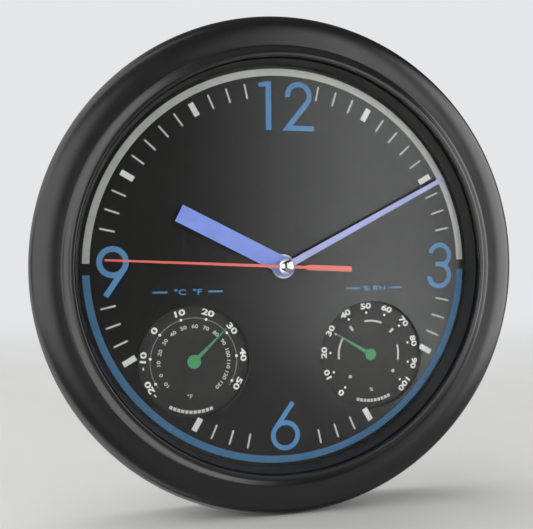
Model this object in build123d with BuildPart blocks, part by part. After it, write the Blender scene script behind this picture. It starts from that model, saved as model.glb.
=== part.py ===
from build123d import *
import os
from math import cos, radians, sin, sqrt

# A round wall clock with a thermometer and a hygrometer let into its dial.
# Millimetres. +Z is up (12 o'clock), +X is right as the clock is read, and the dial faces -Y.
# The wall is the plane y = 0. "Depth" is the distance from the wall towards the reader.
# Every hand and wheel turns about an axis along Y. The origin is on the hands' axis, at the wall.

# Bezel ring: a hollow moulding with a rolled rim, a flat groove and a rounded inner ridge
rim_radius = 152.4
rim_depth = 36.0
back_inset = 5.9
roll_width = 12.0
roll_rise = 6.0
roll_edge_width = 1.4
groove_fall = 2.6
groove_width = 3.9
ridge_width = 6.5
ridge_rise = 4.6
ridge_fall = 2.0
lip_width = 1.6
lip_thickness = 1.0
case_wall = 2.6
stack_wall = 2.4
stack_skirt = 7.5
screw_boss_radius = 4.6
screw_boss_clearance = 0.5
case_screw_count = 6

# Lens, spacer ring and dial lie in one bore, stacked behind the lip
lens_seat_width = 4.4
lens_thickness = 1.8
lens_clearance = 0.6
stack_clearance = 0.4
spacer_wall = 1.6
spacer_taper = 1.6
spacer_lip_inset = 0.6
dial_thickness = 1.0

# Rear cover with its window, vents and hanging keyhole
cover_depth = 3.0
cover_thickness = 2.2
cover_clearance = 0.5
window_margin = 4.0
window_corner = 4.0
window_rib = 1.6
window_rib_height = 3.0
vent_length = 28.0
vent_width = 3.0
vent_pitch = 8.0
vent_count = 5
dial_post_radius = 2.5
dial_post_inset = 4.9
keyhole_radius = 5.0
keyhole_inset = 27.4
keyhole_slot_half_width = 2.2
keyhole_slot_rise = 9.0

# Screws: a pan head over a plain shank
case_screw_radius = 1.4
case_screw_head_radius = 3.0
case_screw_head_height = 1.8
case_screw_length = 9.0
bridge_screw_radius = 0.7
bridge_screw_head_radius = 1.5
bridge_screw_head_height = 0.9
bridge_screw_length = 5.0

# Quartz movement case
module_corner = 3.0
module_inner_corner = 0.3
module_rim = 9.2
module_wall = 1.2
seat_washer_thickness = 1.0
seat_washer_radius = 9.0
bushing_radius = 4.0
bushing_rise = 3.1
bushing_clearance = 0.3
nut_washer_radius = 7.5
nut_washer_thickness = 0.4
nut_radius = 6.9
nut_height = 1.9

# Battery bay along the bottom of the movement
battery_radius = 7.25
battery_nub_radius = 2.7
battery_nub_height = 1.6
battery_clearance = 0.35
divider_clearance = 1.2
train_clearance = 1.258
contact_thickness = 0.4
contact_half_height = 4.8
contact_gap = 0.1
contact_reach = 1.05
contact_pad_radius = 2.4
contact_strip_width = 2.0

# Gears: modules and tooth counts from the motor to the hour hand
motor_module = 0.30
centre_module = 0.28
dial_work_module = 0.50
rotor_teeth = 8
intermediate_teeth = 40
intermediate_pinion_teeth = 8
seconds_teeth = 48
seconds_pinion_teeth = 8
third_teeth = 60
third_pinion_teeth = 8
centre_teeth = 64
cannon_teeth = 10
minute_teeth = 30
minute_pinion_teeth = 8
hour_teeth = 32
knob_teeth = 10
addendum_share = 0.65
dedendum_share = 1.0
tip_share = 0.10
root_share = 0.21
third_heading = 20.0
minute_heading = 135.0
knob_heading = 120.0
intermediate_heading = 190.0
rotor_heading = 150.0

# Wheels, stacked from the back plate to the front plate with a gap between them
wheel_gap = 0.4
pinion_overlap = 0.2
magnet_overhang = 0.5
rotor_magnet_thickness = 1.9
rotor_magnet_radius = 2.8
intermediate_thickness = 0.8
seconds_thickness = 0.9
third_thickness = 0.9
bridge_thickness = 0.8
centre_thickness = 0.8
minute_thickness = 0.9
hour_thickness = 0.8

# Arbors and pipes, one inside the other on the hands' axis
arbor_radius = 0.5
pivot_radius = 0.35
pivot_length = 0.8
running_clearance = 0.06
end_shake = 0.1
minute_pipe_radius = 1.55
hour_pipe_radius = 2.5
third_pinion_hole_radius = 2.2
knob_shaft_radius = 1.2
knob_radius = 5.5
knob_thickness = 3.0
knob_lift = 0.6
knob_flutes = 12
knob_flute_radius = 0.7
minute_post_radius = 0.6

# Stepping motor and circuit
stator_rise = 3.0
stator_thickness = 1.0
stator_leg = 4.0
stator_side_gap = 2.8
core_width = 3.0
stator_ring_radius = 5.2
stator_hole_radius = 3.2
coil_gap = 1.0
coil_clearance = 0.8
bobbin_wall = 0.5
bobbin_flange = 0.6
core_clearance = 0.05
winding_inset = 0.2
post_radius = 1.5
board_side_gap = 1.0
board_top_gap = 1.2
board_width = 17.8
board_margin = 2.65
component_gap = 0.5
board_rise = 0.8
board_thickness = 0.8
board_stator_gap = 3.0
crystal_radius = 1.0
crystal_length = 6.0
chip_radius = 2.6
chip_height = 0.8
bridge_corner_radius = 3.5
bridge_left_inset = 6.3
bridge_right_inset = 5.8
bridge_foot_gap = 0.9
bridge_top_gap = 0.7
bridge_top_x = -3.0

# Hands: depths, outlines and the angles at which they stand, clockwise from 12
hour_hand_rise = 3.5
hour_hand_thickness = 0.5
hour_hand_margin = 51.5
hour_hand_width = 10.9
hour_hand_hub_radius = 6.4
hour_collet_radius = 3.4
hour_collet_height = 0.5
hour_hand_angle = 296.8
minute_hand_rise = 2.0
minute_hand_thickness = 0.5
minute_hand_margin = 5.0
minute_hand_base_width = 4.2
minute_hand_tip_width = 2.8
minute_hand_hub_radius = 4.6
minute_hand_angle = 62.5
second_hand_rise = 2.0
second_hand_thickness = 0.4
second_hand_margin = 15.1
second_hand_base_width = 1.9
second_hand_tip_width = 1.2
second_hand_neck = 13.1
second_hand_tail = 42.3
second_hand_tail_width = 3.4
second_hand_tube_radius = 1.3
second_hand_angle = 272.8
hand_lift = 0.2
cap_radius = 4.7
cap_height = 2.2
cap_edge_height = 0.5

# Thermometer and hygrometer: round cups fixed behind the dial's two large holes
thermometer_heading = 225.6
thermometer_gap = 2.97
hygrometer_heading = 315.5
hygrometer_gap = 4.52
gauge_edge_gap = 12.47
cup_wall = 0.8
cup_depth = 12.0
cup_flange_width = 3.1
cup_ledge = 1.8
cup_ledge_height = 1.5
cup_hub_radius = 2.0
cup_hub_height = 1.2
cup_vent_radius = 2.5
cup_vent_inset = 11.9
cup_vent_count = 6
gauge_hole_step = 0.6
gauge_face_sink = 3.2
gauge_face_thickness = 0.5
gauge_face_clearance = 0.2
gauge_face_hole_radius = 0.9
needle_lift = 0.5
needle_thickness = 0.3
needle_margin = 6.1
needle_root = 2.5
needle_base_width = 2.8
needle_tip_width = 0.5
needle_hub_height = 0.9
thermometer_hub_radius = 4.2
hygrometer_hub_radius = 3.7
thermometer_angle = 46.0
hygrometer_angle = -58.9
strip_thickness = 0.4
strip_width = 4.0
strip_lift = 0.5
strip_pitch = 1.5
strip_turns = 6
strip_collet_radius = 1.4
strip_post_radius = 0.9

# Radii of the bezel's section, from the rim inwards, and its depths
back_radius = rim_radius - back_inset
roll_radius = rim_radius - roll_width
groove_outer = roll_radius - roll_edge_width
groove_inner = groove_outer - groove_width
ridge_radius = groove_inner - ridge_width
lip_radius = ridge_radius - lip_width
roll_depth = rim_depth + roll_rise
groove_depth = roll_depth - groove_fall
ridge_depth = groove_depth + ridge_rise
lens_front = ridge_depth - ridge_fall - lip_thickness
lens_back = lens_front - lens_thickness
lens_radius = lip_radius + lens_seat_width
stack_radius = lens_radius + stack_clearance
stack_outer = stack_radius + stack_wall
spacer_front_bore = lip_radius - spacer_lip_inset
spacer_back_bore = spacer_front_bore - spacer_taper

# The hands need their room between lens and dial, and the movement hangs behind the dial
hands_room = hour_hand_rise + minute_hand_rise + second_hand_rise + second_hand_thickness + cap_height
dial_front = lens_back - lens_clearance - hands_room
dial_back = dial_front - dial_thickness
stack_back = dial_back - stack_skirt
hour_hand_back = dial_front + hour_hand_rise
minute_hand_back = hour_hand_back + minute_hand_rise
second_hand_back = minute_hand_back + second_hand_rise
bushing_top = dial_front + bushing_rise
hour_hand_length = spacer_back_bore - hour_hand_margin
minute_hand_length = spacer_back_bore - minute_hand_margin
second_hand_length = spacer_back_bore - second_hand_margin

# Rear cover
cover_front = cover_depth + cover_thickness
cover_radius = back_radius - case_wall - cover_clearance
boss_circle = stack_outer + screw_boss_radius - screw_boss_clearance
hollow_radius = boss_circle + screw_boss_radius + screw_boss_clearance
dial_post_circle = lens_radius - dial_post_inset
keyhole_height = cover_radius - keyhole_inset

# The movement's case is as large as the centre wheel with the battery bay below it
centre_tip = centre_module * (centre_teeth / 2 + addendum_share)
battery_bay = 2 * (battery_radius + battery_clearance)
bay_half = centre_tip + train_clearance + module_wall + battery_bay
module_half = bay_half + module_wall
module_width = 2 * module_half
window_width = module_width + 2 * window_margin
battery_length = 2 * (bay_half - contact_gap - contact_thickness - contact_reach)
battery_z = battery_bay / 2 - bay_half
divider_z = battery_bay - bay_half
divider_top = divider_z + module_wall

# Heights of the motor and the wheels above the back plate's inner face
magnet_rise = stator_rise - magnet_overhang
intermediate_rise = magnet_rise + rotor_magnet_thickness + end_shake
seconds_rise = intermediate_rise + intermediate_thickness + wheel_gap
third_rise = seconds_rise + seconds_thickness + wheel_gap
bridge_rise = third_rise + third_thickness + wheel_gap
centre_rise = bridge_rise + bridge_thickness + wheel_gap
cannon_rise = centre_rise + centre_thickness + wheel_gap
minute_rise = cannon_rise + end_shake
hour_rise = minute_rise + minute_thickness + wheel_gap
train_height = hour_rise + hour_thickness + pinion_overlap

# Depths of the movement's plates and wheels
module_front = dial_back - seat_washer_thickness
plate_back = module_front - module_wall
plate_front = plate_back - train_height
module_back = plate_front - module_wall
module_split = module_back + module_rim
battery_depth = plate_back - battery_clearance - battery_radius
stator_back = plate_front + stator_rise
board_back = plate_front + board_rise
rotor_magnet_back = plate_front + magnet_rise
intermediate_back = plate_front + intermediate_rise
intermediate_front = intermediate_back + intermediate_thickness
seconds_back = plate_front + seconds_rise
seconds_front = seconds_back + seconds_thickness
third_back = plate_front + third_rise
third_front = third_back + third_thickness
bridge_back = plate_front + bridge_rise
bridge_front = bridge_back + bridge_thickness
centre_back = plate_front + centre_rise
centre_front = centre_back + centre_thickness
cannon_back = plate_front + cannon_rise
minute_back = plate_front + minute_rise
minute_front = minute_back + minute_thickness
hour_back = plate_front + hour_rise
hour_front = hour_back + hour_thickness

# Motor, coil and board take their places from the case's walls
core_depth = stator_back + stator_thickness / 2
bobbin_flange_radius = stator_rise + stator_thickness / 2 - end_shake
winding_radius = bobbin_flange_radius - winding_inset
bobbin_radius = core_width / 2 + bobbin_wall
core_z = bay_half - coil_clearance - bobbin_flange_radius
stator_top = core_z + core_width / 2
board_right = bay_half - board_side_gap
board_left = board_right - board_width
board_top = bay_half - board_top_gap
board_height = 2 * board_margin + 2 * chip_radius + component_gap + 2 * crystal_radius
board_bottom = board_top - board_height
board_middle = (board_left + board_width / 2, board_bottom + board_height / 2)
chip_place = (board_middle[0], board_bottom + board_margin + chip_radius)
crystal_z = board_top - board_margin - crystal_radius
stator_left = stator_side_gap - bay_half
stator_right = board_left - board_stator_gap
coil_left = stator_left + stator_leg + coil_gap
coil_right = stator_right - stator_leg - coil_gap
bridge_foot_z = divider_top + bridge_foot_gap + bridge_corner_radius
bridge_corners = (
    (bridge_left_inset - bay_half, bridge_foot_z),
    (bay_half - bridge_right_inset, bridge_foot_z),
    (bridge_top_x, core_z - bobbin_flange_radius - bridge_top_gap - post_radius),
)
seconds_pinion_module = centre_module * (centre_teeth + third_pinion_teeth) / (
    third_teeth + seconds_pinion_teeth
)

# The gauges fill the room between the movement's corner and the edge of the dial
corner_reach = sqrt(2) * module_half - (sqrt(2) - 1) * module_corner
gauge_near = corner_reach + thermometer_gap
cup_flange_radius = (stack_radius - gauge_edge_gap - gauge_near) / 2
cup_radius = cup_flange_radius - cup_flange_width
cup_bore = cup_radius - cup_wall
cup_vent_circle = cup_radius - cup_vent_inset
gauge_hole_radius = cup_bore - gauge_hole_step
gauge_face_depth = dial_front - gauge_face_sink
needle_back = gauge_face_depth + needle_lift
needle_length = gauge_hole_radius - needle_margin


def facing(depth, place=(0, 0), clockwise=0):
    """A plane parallel to the wall, its +Y axis turned clockwise from 12 o'clock."""
    turn = radians(clockwise)
    return Plane(
        origin=(place[0], -depth, place[1]),
        x_dir=(cos(turn), 0, -sin(turn)),
        z_dir=(0, -1, 0),
    )


def along(place, distance, heading):
    """The place at a distance and a heading, counter-clockwise from 3 o'clock."""
    turn = radians(heading)
    return (place[0] + distance * cos(turn), place[1] + distance * sin(turn))


def bar(start, end, place, radius, mode=Mode.ADD):
    """A round bar or hole between two depths, added to the part being built."""
    with BuildSketch(facing(start, place)) as section:
        Circle(radius)
    extrude(section.sketch, amount=end - start, mode=mode)


def centre_distance(module, teeth, partner_teeth):
    return module * (teeth + partner_teeth) / 2


def meshed_phase(teeth, partner_teeth, partner_phase, heading):
    """The phase at which a gear's gaps take its partner's teeth, seen along the heading to it."""
    lead = partner_phase - heading
    return heading + 180 + 180 / teeth - lead * partner_teeth / teeth


def toothed(start, end, place, teeth, module, phase):
    """A spur gear with straight-sided teeth, one of them pointing along its phase."""
    pitch_radius = module * teeth / 2
    root = pitch_radius - dedendum_share * module
    tip = pitch_radius + addendum_share * module
    tooth_corners = ((root, -root_share), (tip, -tip_share), (tip, tip_share), (root, root_share))
    points = []
    for tooth in range(teeth):
        for radius, share in tooth_corners:
            angle = radians(phase + (tooth + share) * 360 / teeth)
            points.append((radius * cos(angle), radius * sin(angle)))
    with BuildSketch(facing(start, place)) as section:
        Polygon(*points, align=None)
    extrude(section.sketch, amount=end - start)


def arbor(start, end, place):
    """A wheel's spindle, with a thinner pivot at each end."""
    bar(start + end_shake, end - end_shake, place, arbor_radius)
    bar(start - pivot_length + end_shake, end + pivot_length - end_shake, place, pivot_radius)


def finish(built, label):
    built.part.label = label
    export_step(built.part, f"parts/{label}.step")


os.makedirs("parts", exist_ok=True)
section_plane = Plane(origin=(0, 0, 0), x_dir=(1, 0, 0), z_dir=(0, 0, -1))

# Bezel ring, turned from its section: radius to the right, depth upwards
with BuildPart() as bezel_ring:
    with BuildSketch(section_plane):
        with BuildLine():
            Line((back_radius, 0), (rim_radius, rim_depth))
            EllipticalCenterArc(
                (roll_radius, rim_depth),
                rim_radius - roll_radius,
                roll_depth - rim_depth,
                start_angle=0,
                arc_size=90,
            )
            EllipticalCenterArc(
                (roll_radius, groove_depth),
                roll_radius - groove_outer,
                roll_depth - groove_depth,
                start_angle=90,
                arc_size=90,
            )
            Line((groove_outer, groove_depth), (groove_inner, groove_depth))
            EllipticalCenterArc(
                (ridge_radius, groove_depth),
                groove_inner - ridge_radius,
                ridge_depth - groove_depth,
                start_angle=0,
                arc_size=90,
            )
            EllipticalCenterArc(
                (ridge_radius, ridge_depth - ridge_fall),
                ridge_radius - lip_radius,
                ridge_fall,
                start_angle=90,
                arc_size=90,
            )
            Polyline(
                (lip_radius, ridge_depth - ridge_fall),
                (lip_radius, lens_front),
                (stack_radius, lens_front),
                (stack_radius, stack_back),
                (stack_outer, stack_back),
                (stack_outer, groove_depth - case_wall),
                (hollow_radius, groove_depth - case_wall),
            )
            EllipticalCenterArc(
                (hollow_radius, rim_depth),
                rim_radius - case_wall - hollow_radius,
                groove_depth - case_wall - rim_depth,
                start_angle=0,
                arc_size=90,
            )
            Polyline(
                (rim_radius - case_wall, rim_depth),
                (back_radius - case_wall, 0),
                (back_radius, 0),
            )
        make_face()
    revolve(axis=Axis.Y)
    with BuildSketch(facing(cover_front)):
        with PolarLocations(boss_circle, case_screw_count, start_angle=90):
            Circle(screw_boss_radius)
            Circle(case_screw_radius, mode=Mode.SUBTRACT)
    extrude(amount=groove_depth - case_wall / 2 - cover_front)
finish(bezel_ring, "bezel_ring")

# Flat clear lens, clamped under the bezel's lip
with BuildPart() as lens:
    with BuildSketch(facing(lens_back)):
        Circle(lens_radius)
    extrude(amount=lens_thickness)
finish(lens, "lens")

# Spacer ring between dial and lens: a tapered wall with a flange at each end
with BuildPart() as spacer_ring:
    with BuildSketch(section_plane):
        with BuildLine():
            Polyline(
                (spacer_back_bore, dial_front),
                (lens_radius, dial_front),
                (lens_radius, dial_front + spacer_wall),
                (spacer_back_bore + spacer_wall, dial_front + spacer_wall),
                (spacer_front_bore + spacer_wall, lens_back - spacer_wall),
                (lens_radius, lens_back - spacer_wall),
                (lens_radius, lens_back),
                (spacer_front_bore, lens_back),
                close=True,
            )
        make_face()
    revolve(axis=Axis.Y)
finish(spacer_ring, "spacer_ring")

# Dial plate: holes for the movement's bushing and for the two gauges
gauge_places = (
    along((0, 0), corner_reach + thermometer_gap + cup_flange_radius, thermometer_heading),
    along((0, 0), corner_reach + hygrometer_gap + cup_flange_radius, hygrometer_heading),
)
with BuildPart() as dial_plate:
    with BuildSketch(facing(dial_back)):
        Circle(lens_radius)
        Circle(bushing_radius + bushing_clearance, mode=Mode.SUBTRACT)
        with Locations(*gauge_places):
            Circle(gauge_hole_radius, mode=Mode.SUBTRACT)
    extrude(amount=dial_thickness)
finish(dial_plate, "dial_plate")

# Rear cover: a disc with a window for the movement, a rib round it, vents, posts and a keyhole
with BuildPart() as rear_cover:
    with BuildSketch(facing(cover_depth)):
        Circle(cover_radius)
        RectangleRounded(window_width, window_width, window_corner, mode=Mode.SUBTRACT)
        for place in gauge_places:
            with Locations(place):
                with GridLocations(0, vent_pitch, 1, vent_count):
                    SlotOverall(vent_length, vent_width, mode=Mode.SUBTRACT)
        with PolarLocations(boss_circle, case_screw_count, start_angle=90):
            Circle(case_screw_radius, mode=Mode.SUBTRACT)
        with Locations((0, keyhole_height)):
            Circle(keyhole_radius, mode=Mode.SUBTRACT)
        with Locations((0, keyhole_height + keyhole_slot_rise / 2)):
            SlotCenterToCenter(
                keyhole_slot_rise, 2 * keyhole_slot_half_width, rotation=90, mode=Mode.SUBTRACT
            )
    extrude(amount=cover_thickness)
    with BuildSketch(facing(cover_front)):
        rib_width = window_width + 2 * window_rib
        RectangleRounded(rib_width, rib_width, window_corner + window_rib)
        RectangleRounded(window_width, window_width, window_corner, mode=Mode.SUBTRACT)
    extrude(amount=window_rib_height)
    with BuildSketch(facing(cover_front)):
        with PolarLocations(dial_post_circle, case_screw_count, start_angle=90 + 180 / case_screw_count):
            Circle(dial_post_radius)
    extrude(amount=dial_back - cover_front)
finish(rear_cover, "rear_cover")

with BuildPart() as rear_cover_screws:
    with BuildSketch(facing(cover_depth - case_screw_head_height)):
        with PolarLocations(boss_circle, case_screw_count, start_angle=90):
            Circle(case_screw_head_radius)
    extrude(amount=case_screw_head_height)
    with BuildSketch(facing(cover_depth)):
        with PolarLocations(boss_circle, case_screw_count, start_angle=90):
            Circle(case_screw_radius)
    extrude(amount=case_screw_length)
finish(rear_cover_screws, "rear_cover_screws")

# Places of the wheels. Each pair of headings and tooth counts fixes one centre distance.
centre_place = (0, 0)
third_place = along(
    centre_place, centre_distance(centre_module, centre_teeth, third_pinion_teeth), third_heading
)
minute_place = along(
    centre_place, centre_distance(dial_work_module, cannon_teeth, minute_teeth), minute_heading
)
knob_place = along(
    minute_place, centre_distance(dial_work_module, minute_teeth, knob_teeth), knob_heading
)
intermediate_place = along(
    centre_place,
    centre_distance(motor_module, seconds_teeth, intermediate_pinion_teeth),
    intermediate_heading,
)
rotor_place = along(
    intermediate_place, centre_distance(motor_module, intermediate_teeth, rotor_teeth), rotor_heading
)
stator_post_places = (
    (stator_left + stator_leg / 2, core_z),
    (stator_left + stator_leg / 2, rotor_place[1] + stator_leg),
    (stator_right - stator_leg / 2, core_z / 2),
)
board_post_places = (
    (board_left + post_radius, board_top - post_radius),
    (board_right - 3 * post_radius, board_top - post_radius),
    (board_right - 3 * post_radius, board_bottom + post_radius),
)

# Movement, front half: the plate that carries the threaded bushing and the minute wheel's post
with BuildPart() as movement_front_case:
    with BuildSketch(facing(module_split)):
        RectangleRounded(module_width, module_width, module_corner)
        inner_width = module_width - 2 * module_wall
        RectangleRounded(inner_width, inner_width, module_inner_corner, mode=Mode.SUBTRACT)
    extrude(amount=plate_back - module_split)
    with BuildSketch(facing(plate_back)):
        RectangleRounded(module_width, module_width, module_corner)
    extrude(amount=module_wall)
    bar(module_front, bushing_top, centre_place, bushing_radius)
    bar(plate_back, bushing_top, centre_place, hour_pipe_radius + running_clearance, Mode.SUBTRACT)
    bar(cannon_back, plate_back, minute_place, minute_post_radius)
    for place in (third_place, knob_place):
        bar(plate_back, plate_back + pivot_length, place, pivot_radius + running_clearance, Mode.SUBTRACT)
finish(movement_front_case, "movement_front_case")

# Movement, rear half: battery bay, posts for the train and the motor, and the knob's hole
with BuildPart() as movement_rear_case:
    with BuildSketch(facing(module_back)):
        RectangleRounded(module_width, module_width, module_corner)
        with Locations((0, battery_z)):
            Rectangle(
                battery_length + 2 * contact_gap,
                battery_bay,
                mode=Mode.SUBTRACT,
            )
    extrude(amount=module_wall)
    with BuildSketch(facing(plate_front)):
        RectangleRounded(module_width, module_width, module_corner)
        RectangleRounded(inner_width, inner_width, module_inner_corner, mode=Mode.SUBTRACT)
    extrude(amount=module_split - plate_front)
    with BuildSketch(facing(plate_front)):
        with Locations((0, divider_z + module_wall / 2)):
            Rectangle(2 * (bay_half - divider_clearance), module_wall)
    extrude(amount=plate_back - end_shake - plate_front)
    for place in stator_post_places:
        bar(plate_front, stator_back, place, post_radius)
    for place in board_post_places:
        bar(plate_front, board_back, place, post_radius)
    for place in bridge_corners:
        bar(plate_front, bridge_back, place, post_radius)
        bar(bridge_back - bridge_screw_length, bridge_back, place, bridge_screw_radius, Mode.SUBTRACT)
    for place in (centre_place, third_place, intermediate_place, rotor_place):
        bar(plate_front - pivot_length, plate_front, place, pivot_radius + running_clearance, Mode.SUBTRACT)
    bar(module_back, plate_front, knob_place, knob_shaft_radius + running_clearance, Mode.SUBTRACT)
finish(movement_rear_case, "movement_rear_case")

# Soft washer between movement and dial, then metal washer and nut on the bushing
with BuildPart() as rubber_washer:
    bar(module_front, dial_back, centre_place, seat_washer_radius)
    bar(module_front, dial_back, centre_place, bushing_radius + bushing_clearance, Mode.SUBTRACT)
finish(rubber_washer, "rubber_washer")

nut_back = dial_front + nut_washer_thickness
with BuildPart() as mounting_washer:
    bar(dial_front, nut_back, centre_place, nut_washer_radius)
    bar(dial_front, nut_back, centre_place, bushing_radius + bushing_clearance, Mode.SUBTRACT)
finish(mounting_washer, "mounting_washer")

with BuildPart() as mounting_nut:
    with BuildSketch(facing(nut_back)):
        RegularPolygon(nut_radius, 6)
        Circle(bushing_radius, mode=Mode.SUBTRACT)
    extrude(amount=nut_height)
finish(mounting_nut, "mounting_nut")

# Train bridge: the three-cornered plate that holds the front pivots of rotor and intermediate
with BuildPart() as train_bridge:
    with BuildSketch(facing(bridge_back)):
        with Locations(*bridge_corners):
            Circle(bridge_corner_radius)
        make_hull()
        with Locations(*bridge_corners):
            Circle(bridge_screw_radius, mode=Mode.SUBTRACT)
        with Locations(rotor_place, intermediate_place):
            Circle(pivot_radius + running_clearance, mode=Mode.SUBTRACT)
        with Locations(third_place):
            Circle(third_pinion_hole_radius, mode=Mode.SUBTRACT)
        with Locations(centre_place):
            Circle(arbor_radius + running_clearance, mode=Mode.SUBTRACT)
    extrude(amount=bridge_thickness)
finish(train_bridge, "train_bridge")

with BuildPart() as bridge_screws:
    for place in bridge_corners:
        bar(bridge_front - bridge_screw_length, bridge_front, place, bridge_screw_radius)
        bar(bridge_front, bridge_front + bridge_screw_head_height, place, bridge_screw_head_radius)
finish(bridge_screws, "bridge_screws")

# Motor: a U-shaped stator round the rotor, and the coil on its core
with BuildPart() as stator:
    with BuildSketch(facing(stator_back)):
        leg_foot = rotor_place[1]
        leg_length = stator_top - leg_foot
        with Locations((stator_left, leg_foot), (stator_right - stator_leg, leg_foot)):
            Rectangle(stator_leg, leg_length, align=Align.MIN)
        with Locations((stator_left, stator_top - core_width)):
            Rectangle(stator_right - stator_left, core_width, align=Align.MIN)
        with Locations((stator_left, leg_foot)):
            Rectangle(stator_right - stator_left, stator_leg, align=Align.MIN)
        with Locations(rotor_place):
            Circle(stator_ring_radius)
            Circle(stator_hole_radius, mode=Mode.SUBTRACT)
    extrude(amount=stator_thickness)
finish(stator, "stator")

across = Plane(origin=(coil_left, -core_depth, core_z), x_dir=(0, 1, 0), z_dir=(1, 0, 0))
coil_length = coil_right - coil_left
with BuildPart() as coil_bobbin:
    with BuildSketch(across):
        Circle(bobbin_radius)
    extrude(amount=coil_length)
    with BuildSketch(across, across.offset(coil_length - bobbin_flange)):
        Circle(bobbin_flange_radius)
    extrude(amount=bobbin_flange)
    with BuildSketch(across):
        Rectangle(stator_thickness + 2 * core_clearance, core_width + 2 * core_clearance)
    extrude(amount=coil_length, mode=Mode.SUBTRACT)
finish(coil_bobbin, "coil_bobbin")

with BuildPart() as coil_winding:
    with BuildSketch(across.offset(bobbin_flange)):
        Circle(winding_radius)
        Circle(bobbin_radius, mode=Mode.SUBTRACT)
    extrude(amount=coil_length - 2 * bobbin_flange)
finish(coil_winding, "coil_winding")

# Circuit board with its quartz crystal and its chip under a drop of resin
board_front = board_back + board_thickness
with BuildPart() as circuit_board:
    with BuildSketch(facing(board_back)):
        with Locations(board_middle):
            Rectangle(board_width, board_height)
    extrude(amount=board_thickness)
finish(circuit_board, "circuit_board")

with BuildPart() as quartz_crystal:
    lying = Plane(
        origin=(board_middle[0], -board_front - crystal_radius, crystal_z),
        x_dir=(0, 1, 0),
        z_dir=(1, 0, 0),
    )
    with BuildSketch(lying):
        Circle(crystal_radius)
    extrude(amount=crystal_length)
finish(quartz_crystal, "quartz_crystal")

with BuildPart() as ic_chip:
    bar(board_front, board_front + chip_height, chip_place, chip_radius)
    fillet(ic_chip.edges().group_by(Axis.Y)[0], chip_height / 2)
finish(ic_chip, "ic_chip")

# Battery lying across the bay, its nub to the right
with BuildPart() as battery_cell:
    along_bay = Plane(
        origin=(-battery_length / 2, -battery_depth, battery_z), x_dir=(0, 1, 0), z_dir=(1, 0, 0)
    )
    with BuildSketch(along_bay):
        Circle(battery_radius)
    extrude(amount=battery_length - battery_nub_height)
    with BuildSketch(along_bay.offset(battery_length - battery_nub_height)):
        Circle(battery_nub_radius)
    extrude(amount=battery_nub_height)
finish(battery_cell, "battery_cell")

# Battery contacts: a leaf with a pad at each end of the cell, and a strip up to the board
leaf_inner = bay_half - contact_gap - contact_thickness
leaf_reach = leaf_inner - battery_length / 2


def contact_leaf(side):
    """The leaf and its pad at one end of the battery: side is 1 at the nub and -1 at the base."""
    leaf_plane = Plane(
        origin=(side * battery_length / 2, -battery_depth, battery_z), x_dir=(0, 1, 0), z_dir=(side, 0, 0)
    )
    with BuildSketch(leaf_plane) as pad:
        Circle(contact_pad_radius)
    extrude(pad.sketch, amount=leaf_reach)
    with BuildSketch(leaf_plane.offset(leaf_reach)) as leaf:
        Rectangle(2 * contact_half_height, 2 * contact_half_height)
    extrude(leaf.sketch, amount=contact_thickness)


def strip_block(x_span, z_span, back, thickness):
    """A straight run of a contact strip, between two x and two z values."""
    with BuildSketch(facing(back)) as run:
        with Locations(((x_span[0] + x_span[1]) / 2, (z_span[0] + z_span[1]) / 2)):
            Rectangle(x_span[1] - x_span[0], z_span[1] - z_span[0])
    extrude(run.sketch, amount=thickness)


leaf_outer = leaf_inner + contact_thickness
strip_top = bay_half - contact_gap
with BuildPart() as battery_contact_positive:
    contact_leaf(1)
    strip_block(
        (leaf_inner, leaf_outer),
        (battery_z, board_bottom + contact_strip_width),
        board_front,
        contact_strip_width,
    )
    strip_block(
        (board_right - contact_strip_width, leaf_outer),
        (board_bottom, board_bottom + contact_strip_width),
        board_front,
        contact_thickness,
    )
finish(battery_contact_positive, "battery_contact_positive")

with BuildPart() as battery_contact_negative:
    contact_leaf(-1)
    strip_block(
        (-leaf_outer, -leaf_inner), (battery_z, strip_top), board_front, contact_strip_width
    )
    strip_block(
        (-leaf_outer, board_right),
        (strip_top - contact_thickness, strip_top),
        board_front,
        contact_strip_width,
    )
    strip_block(
        (board_right - contact_strip_width, board_right),
        (board_top - contact_strip_width, strip_top),
        board_front,
        contact_thickness,
    )
finish(battery_contact_negative, "battery_contact_negative")

# Gear train. Each phase puts a gear's gaps on its partner's teeth while the hands stand at rest.
seconds_phase = intermediate_heading
intermediate_pinion_phase = meshed_phase(
    intermediate_pinion_teeth, seconds_teeth, seconds_phase, intermediate_heading
)
rotor_phase = meshed_phase(rotor_teeth, intermediate_teeth, rotor_heading, rotor_heading)
third_phase = meshed_phase(third_teeth, seconds_pinion_teeth, third_heading, third_heading)
third_pinion_phase = meshed_phase(third_pinion_teeth, centre_teeth, third_heading, third_heading)
minute_phase = meshed_phase(minute_teeth, cannon_teeth, minute_heading, minute_heading)
minute_pinion_phase = meshed_phase(minute_pinion_teeth, hour_teeth, minute_heading, minute_heading)
knob_phase = meshed_phase(knob_teeth, minute_teeth, minute_phase, knob_heading)

with BuildPart() as rotor:
    magnet_front = rotor_magnet_back + rotor_magnet_thickness
    bar(rotor_magnet_back, magnet_front, rotor_place, rotor_magnet_radius)
    pinion_front = intermediate_front + pinion_overlap
    toothed(magnet_front, pinion_front, rotor_place, rotor_teeth, motor_module, rotor_phase)
    arbor(plate_front, bridge_back, rotor_place)
finish(rotor, "rotor")

with BuildPart() as intermediate_wheel:
    toothed(
        intermediate_back,
        intermediate_front,
        intermediate_place,
        intermediate_teeth,
        motor_module,
        rotor_heading,
    )
    toothed(
        intermediate_front,
        seconds_front + pinion_overlap,
        intermediate_place,
        intermediate_pinion_teeth,
        motor_module,
        intermediate_pinion_phase,
    )
    arbor(plate_front, bridge_back, intermediate_place)
finish(intermediate_wheel, "intermediate_wheel")

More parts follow.
